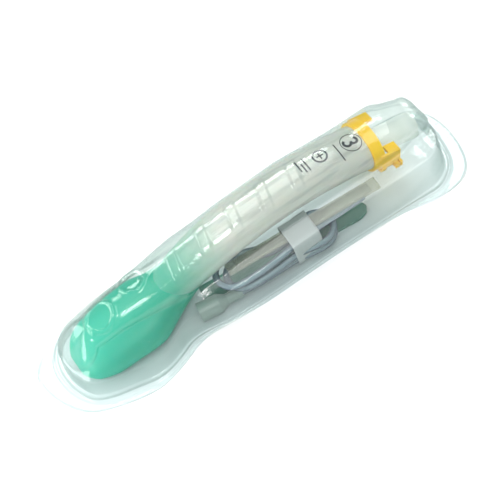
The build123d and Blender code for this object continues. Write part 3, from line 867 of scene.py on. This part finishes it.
sachet = pillow("sachet_film", SACHET["length"], SACHET["width"], 5.0, 0.9, 2.2, True)
sachet.data.materials.append(sachet_laminate())
sachet.visible_shadow = False
jelly = pillow("sachet_jelly", SACHET["length"] - 10.4, SACHET["width"] - 2.2, 0.0, 0.0, 1.5, False)
jelly.data.materials.append(lubricant_jelly())
for piece, node, slot in ((sachet, "lubricant_sachet", "sachet_film"),
                          (jelly, "lubricant_gel", "gel")):
    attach(piece, "suction_set")
    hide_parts(node)


# ---- The paper band -------------------------------------------------------------------
# A strip of white paper wrapped once round the wound tube and the sachet, with its ends
# glued over each other on top.
BAND_WIDTH = 17.2


def paper_band_mesh():
    """The wrapped strip: a loop with soft corners, a little askew, and a glued overlap."""
    low_y, high_y, low_z, high_z, corner_radius = -22.6, -4.6, 2.75, 20.7, 2.6
    corners = [(high_y, high_z, 0), (low_y, high_z, 90), (low_y, low_z, 180), (high_y, low_z, 270)]
    loop = []
    for y, z, first in corners:
        mid_y = y - corner_radius if y == high_y else y + corner_radius
        mid_z = z - corner_radius if z == high_z else z + corner_radius
        for k in range(7):
            angle = radians(first + 15 * k)
            loop.append((mid_y + corner_radius * cos(angle), mid_z + corner_radius * sin(angle)))
    start = loop[0]
    dense = []
    for a, b in zip(loop, loop[1:] + [start]):
        steps = max(1, int(hypot(b[0] - a[0], b[1] - a[1]) / 1.5))
        dense += [(a[0] + (b[0] - a[0]) * j / steps, a[1] + (b[1] - a[1]) * j / steps)
                  for j in range(steps)]
    lap = [(y, z + 0.24) for y, z in dense[:9]]
    dense = dense + [(dense[0][0], dense[0][1])] + lap[1:]
    columns, band_left, lean = 13, 18.95, 0.05
    vertices, faces = [], []
    for j, (y, z) in enumerate(dense):
        for c in range(columns):
            share = c / (columns - 1)
            x = band_left + BAND_WIDTH * share + lean * (y - low_y)
            wave = 0.10 * sin(j * 0.9 + share * 5.0) + 0.08 * sin(share * 9.0 + j * 0.35)
            vertices.append((x, y + wave * 0.4, z + wave))
    for j in range(len(dense) - 1):
        for c in range(columns - 1):
            a = j * columns + c
            faces.append((a, a + 1, a + columns + 1, a + columns))
    made = mesh_object("wrapped_paper", vertices, faces)
    thick = made.modifiers.new("paper", "SOLIDIFY")
    thick.thickness = 0.12 * MM
    thick.offset = 0.0
    length = sum(hypot(b[0] - a[0], b[1] - a[1]) for a, b in zip(dense, dense[1:]))
    return made, length


def plain_paper():
    """Uncoated white paper: matt, fine fibres, faint creases; its colour is painted grey as shade.
    """
    material, tree = new_material("plain_paper")
    fibre = add(tree, "ShaderNodeTexNoise", Scale=2600.0, Detail=4.0)
    rough = add(tree, "ShaderNodeBump", [("Height", fibre, 0)], Strength=0.25, Distance=0.0001)
    # Painted shade: the white paper is given a mid-grey colour, standing in for the shade it lies in
    # inside the pack.
    tone = add(tree, "ShaderNodeMix", [(0, fibre, 0)],
               {6: srgb("#B2B8B8"), 7: srgb("#BFC5C5")}, data_type="RGBA")
    face = add(tree, "ShaderNodeBsdfPrincipled", [("Base Color", tone, 2), ("Normal", rough, 0)],
               Roughness=0.85)
    add(tree, "ShaderNodeOutputMaterial", [("Surface", face, 0)])
    return material


wrapped_paper, paper_length = paper_band_mesh()
wrapped_paper.data.materials.append(plain_paper())
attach(wrapped_paper, "suction_set")
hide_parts("paper_band")


# ---- The support strap ----------------------------------------------------------------
# A soft green elastic strap with round ends, folded in four layers and laid on the lid
# under the wound tube.
STRAP_WIDTH, STRAP_THICK = 12.0, 0.36
STRAP_X, STRAP_Y, STRAP_TURN = 18.0, -7.5, radians(-7.0)


def strap_path():
    """The strap's middle line in x and z, from its free end on top down to the lid."""
    heights = [1.92, 1.46, 1.0, 0.54]
    ends = [(51.6, -51.2), (-51.2, 46.0), (46.0, -50.6), (-50.6, 49.0)]
    steps = 60
    line = []
    for n, (from_x, to_x) in enumerate(ends):
        for i in range(steps + 1):
            line.append((from_x + (to_x - from_x) * i / steps, heights[n]))
        if n < len(ends) - 1:
            side = -1 if to_x < 0 else 1
            middle, radius = (heights[n] + heights[n + 1]) / 2, (heights[n] - heights[n + 1]) / 2
            for k in range(1, 6):
                angle = pi / 2 - pi * k / 6
                line.append((to_x + side * radius * cos(angle), middle + radius * sin(angle)))
    return line


def folded_strap():
    """The strap as one ribbon along its folded path, with its length and area."""
    line = strap_path()
    lengths = [0.0]
    for a, b in zip(line, line[1:]):
        lengths.append(lengths[-1] + hypot(b[0] - a[0], b[1] - a[1]))
    total = lengths[-1]
    columns = 13
    vertices, faces = [], []
    area = 0.0
    for j, (x, z) in enumerate(line):
        room = min(lengths[j], total - lengths[j], STRAP_WIDTH / 2)
        half = sqrt(max(0.0, (STRAP_WIDTH / 2) ** 2 - (STRAP_WIDTH / 2 - room) ** 2)) + 0.05
        if j:
            area += 2 * half * (lengths[j] - lengths[j - 1])
        for c in range(columns):
            y = half * (-1 + 2 * c / (columns - 1))
            vertices.append((STRAP_X + x * cos(STRAP_TURN) - y * sin(STRAP_TURN),
                             STRAP_Y + x * sin(STRAP_TURN) + y * cos(STRAP_TURN), z))
    for j in range(len(line) - 1):
        for c in range(columns - 1):
            a = j * columns + c
            faces.append((a, a + 1, a + columns + 1, a + columns))
    made = mesh_object("folded_strap", vertices, faces)
    thick = made.modifiers.new("cloth", "SOLIDIFY")
    thick.thickness = STRAP_THICK * MM
    thick.offset = 0.0
    return made, total, area


def green_elastic():
    """Knitted green elastic: matt, with fine lengthwise ribs."""
    material, tree = new_material("green_elastic")
    place = add(tree, "ShaderNodeTexCoord")
    rib = add(tree, "ShaderNodeTexWave", [("Vector", place, 3)], bands_direction="Y",
              Scale=420.0, Distortion=1.5, Detail=2.0)
    fibre = add(tree, "ShaderNodeBump", [("Height", rib, 1)], Strength=0.4, Distance=0.0002)
    tone = add(tree, "ShaderNodeMix", [(0, rib, 1)],
               {6: srgb("#2F7562"), 7: srgb("#4C907D")}, data_type="RGBA")
    face = add(tree, "ShaderNodeBsdfPrincipled", [("Base Color", tone, 2), ("Normal", fibre, 0)],
               Roughness=0.9)
    add(tree, "ShaderNodeOutputMaterial", [("Surface", face, 0)])
    return material


strap, strap_length, strap_area = folded_strap()
strap.data.materials.append(green_elastic())
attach(strap, "strap")
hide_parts("support_strap")


# ---- The backing lid ------------------------------------------------------------------
# White spunbonded sheet, heat sealed under the flange all the way round.
def spunbonded_sheet():
    """White spunbonded polyolefin: matt, with the swirl of its pressed fibres."""
    material, tree = new_material("spunbonded_sheet")
    swirl = add(tree, "ShaderNodeTexNoise", Scale=420.0, Detail=6.0, Distortion=1.2)
    rough = add(tree, "ShaderNodeBump", [("Height", swirl, 0)], Strength=0.2, Distance=0.0002)
    tone = add(tree, "ShaderNodeMix", [(0, swirl, 0)],
               {6: srgb("#D8E1E4"), 7: srgb("#E3EBED")}, data_type="RGBA")
    face = add(tree, "ShaderNodeBsdfPrincipled", [("Base Color", tone, 2), ("Normal", rough, 0)],
               Roughness=0.75)
    add(tree, "ShaderNodeOutputMaterial", [("Surface", face, 0)])
    return material


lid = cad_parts["backing_lid"]
lid.data.materials.clear()
lid.data.materials.append(spunbonded_sheet())
